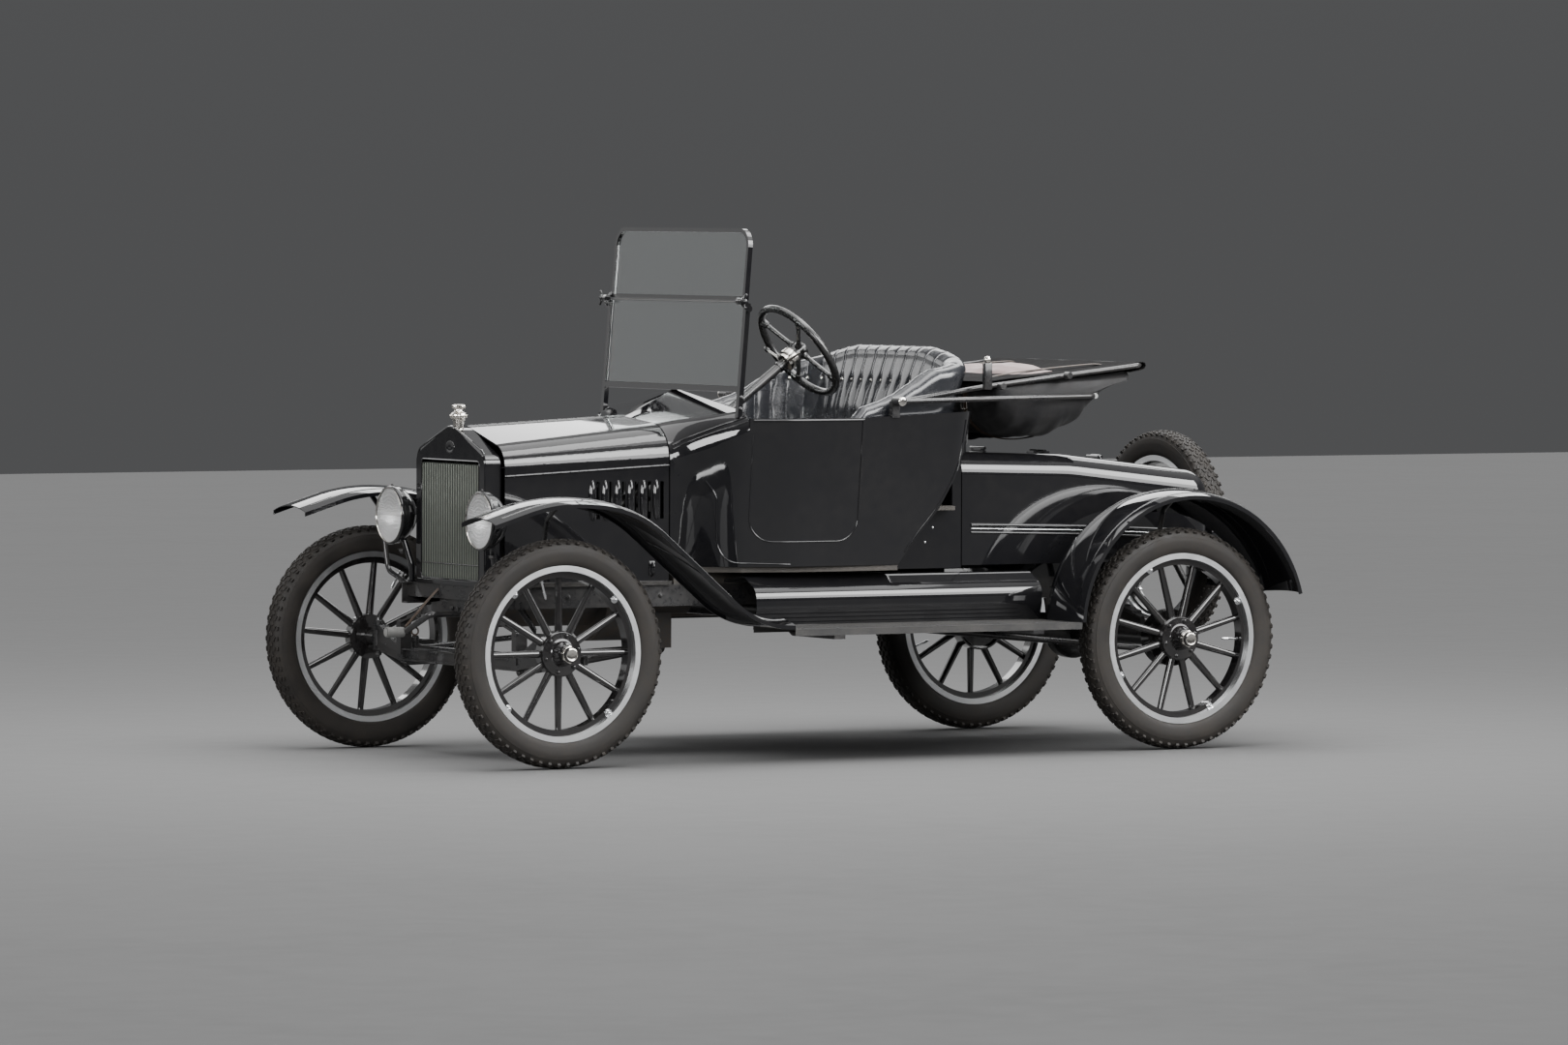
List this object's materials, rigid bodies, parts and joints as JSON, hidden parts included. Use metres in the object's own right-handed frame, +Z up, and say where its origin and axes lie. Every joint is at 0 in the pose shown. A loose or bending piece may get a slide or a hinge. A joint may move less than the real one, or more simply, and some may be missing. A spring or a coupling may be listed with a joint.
{
  "type": "brass era car",
  "caption": "Open two-seat runabout with gabled radiator, folding windshield, wooden wheels, rear deck, folded top and an upright spare.",
  "frame": {"origin": "on the ground under the middle of the car's overall length, on its centre plane", "axes": "+X forward, +Y to the left of the car, +Z up"},
  "size_m": [3.4208, 1.672, 1.8707],
  "materials": {
    "gloss_black": "deep gloss black enamel",
    "chassis_black": "semi-gloss black paint",
    "engine_iron": "plain cast iron",
    "exhaust_steel": "dull heat-stained steel",
    "radiator_core": "dark olive grey fins",
    "nickel": "polished nickel",
    "shelf_wood": "black painted hardwood",
    "floor_wood": "dark painted boards",
    "black_leather": "pleated black leather",
    "top_cloth": "black coated cloth, folded",
    "wheel_black": "black steering wheel with a dark rim",
    "wheel_wood": "black painted hickory spokes and felloe",
    "rim_zinc": "galvanised steel",
    "tyre": "dark grey-brown rubber",
    "glass": "clear flat glass",
    "lens_glass": "fluted clear glass"
  },
  "bodies": {
    "car": {"body_tub": "gloss_black", "controls": "chassis_black", "cowl": "gloss_black", "crank": "chassis_black", "deck": "gloss_black", "engine": "engine_iron", "exhaust": "exhaust_steel", "fender_irons": "chassis_black", "floor": "floor_wood", "frame": "chassis_black", "front_axle": "chassis_black", "front_fenders": "gloss_black", "headlamp_lenses": "lens_glass", "headlamps": "gloss_black", "hood_rod": "gloss_black", "hood_shelves": "shelf_wood", "radiator_cap": "nickel", "radiator_core": "radiator_core", "radiator_shell": "gloss_black", "rear_axle": "chassis_black", "rear_fenders": "gloss_black", "rim_spare": "rim_zinc", "running_boards": "gloss_black", "seat_back": "black_leather", "seat_cushion": "black_leather", "spare_carrier": "chassis_black", "splash_aprons": "gloss_black", "springs": "chassis_black", "steering_column": "chassis_black", "top_cloth": "top_cloth", "top_irons": "chassis_black", "tyre_spare": "tyre", "windshield_frame": "gloss_black", "windshield_glass": "glass"},
    "knuckle_left": {"knuckle_left": "chassis_black"},
    "knuckle_right": {"knuckle_right": "chassis_black"},
    "tie_rod": {"tie_rod": "chassis_black"},
    "pitman_arm": {"pitman_arm": "chassis_black"},
    "steering_wheel": {"steering_wheel": "wheel_black"},
    "wheel_front_left": {"wheel_front_left": "wheel_wood", "rim_front_left": "rim_zinc", "tyre_front_left": "tyre"},
    "wheel_front_right": {"wheel_front_right": "wheel_wood", "rim_front_right": "rim_zinc", "tyre_front_right": "tyre"},
    "wheel_rear_left": {"wheel_rear_left": "wheel_wood", "rim_rear_left": "rim_zinc", "tyre_rear_left": "tyre"},
    "wheel_rear_right": {"wheel_rear_right": "wheel_wood", "rim_rear_right": "rim_zinc", "tyre_rear_right": "tyre"},
    "windshield_upper": {"windshield_upper": "gloss_black", "windshield_upper_glass": "glass"},
    "door": {"door": "gloss_black"},
    "deck_lid": {"deck_lid": "gloss_black"},
    "hood_top_left": {"hood_top_left": "gloss_black"},
    "hood_top_right": {"hood_top_right": "gloss_black"},
    "hood_side_left": {"hood_side_left": "gloss_black"},
    "hood_side_right": {"hood_side_right": "gloss_black"}
  },
  "joints": [
    {"name": "steer_left", "type": "hinge", "parent": "car", "child": "knuckle_left", "pos_m": [1.31162, 0.625, 0.399], "axis": [0, 0, 1], "range_deg": [-30, 30]},
    {"name": "steer_right", "type": "hinge", "parent": "car", "child": "knuckle_right", "pos_m": [1.31162, -0.625, 0.399], "axis": [0, 0, 1], "range_deg": [-30, 30]},
    {"name": "tie_rod_swing", "type": "hinge", "parent": "knuckle_left", "child": "tie_rod", "pos_m": [1.16162, 0.625, 0.38], "axis": [0, 0, 1], "range_deg": [-30, 30]},
    {"name": "pitman_swing", "type": "hinge", "parent": "car", "child": "pitman_arm", "pos_m": [1.22749, 0.225, 0.575], "axis": [-0.8039, 0, 0.5948], "range_deg": [-30, 30]},
    {"name": "steering_wheel_turn", "type": "hinge", "parent": "car", "child": "steering_wheel", "pos_m": [0.06662, 0.225, 1.434], "axis": [-0.8039, 0, 0.5948], "range_deg": [-120, 120]},
    {"name": "front_left_roll", "type": "hinge", "parent": "knuckle_left", "child": "wheel_front_left", "pos_m": [1.31162, 0.711, 0.399], "axis": [0, 1, 0], "continuous": true},
    {"name": "front_right_roll", "type": "hinge", "parent": "knuckle_right", "child": "wheel_front_right", "pos_m": [1.31162, -0.711, 0.399], "axis": [0, 1, 0], "continuous": true},
    {"name": "rear_left_roll", "type": "hinge", "parent": "car", "child": "wheel_rear_left", "pos_m": [-1.22838, 0.711, 0.399], "axis": [0, 1, 0], "continuous": true},
    {"name": "rear_right_roll", "type": "hinge", "parent": "car", "child": "wheel_rear_right", "pos_m": [-1.22838, -0.711, 0.399], "axis": [0, 1, 0], "continuous": true},
    {"name": "windshield_fold", "type": "hinge", "parent": "car", "child": "windshield_upper", "pos_m": [0.45858, 0, 1.61425], "axis": [0, 1, 0], "range_deg": [0, 170]},
    {"name": "door_swing", "type": "hinge", "parent": "car", "child": "door", "pos_m": [0.43962, -0.558, 0.9], "axis": [0, 0, 1], "range_deg": [0, 70]},
    {"name": "deck_lid_lift", "type": "hinge", "parent": "car", "child": "deck_lid", "pos_m": [-0.95038, 0, 1.063], "axis": [0, 1, 0], "range_deg": [0, 50]},
    {"name": "hood_left_lift", "type": "hinge", "parent": "car", "child": "hood_top_left", "pos_m": [1.28862, 0, 1.168], "axis": [0.9987, 0, -0.0502], "range_deg": [0, 60]},
    {"name": "hood_right_lift", "type": "hinge", "parent": "car", "child": "hood_top_right", "pos_m": [1.28862, 0, 1.168], "axis": [-0.9987, 0, 0.0502], "range_deg": [0, 60]},
    {"name": "hood_side_left_fold", "type": "hinge", "parent": "hood_top_left", "child": "hood_side_left", "pos_m": [1.28362, 0.27, 1], "axis": [0.9943, -0.092, -0.0539], "range_deg": [0, 40]},
    {"name": "hood_side_right_fold", "type": "hinge", "parent": "hood_top_right", "child": "hood_side_right", "pos_m": [1.28362, -0.27, 1], "axis": [-0.9943, -0.092, 0.0539], "range_deg": [0, 40]}
  ],
  "couplings": [
    {"joint": "steer_right", "follows": "steer_left", "ratio": 1},
    {"joint": "tie_rod_swing", "follows": "steer_left", "ratio": -1},
    {"joint": "pitman_swing", "follows": "steer_left", "ratio": 1},
    {"joint": "steering_wheel_turn", "follows": "steer_left", "ratio": 4}
  ]
}
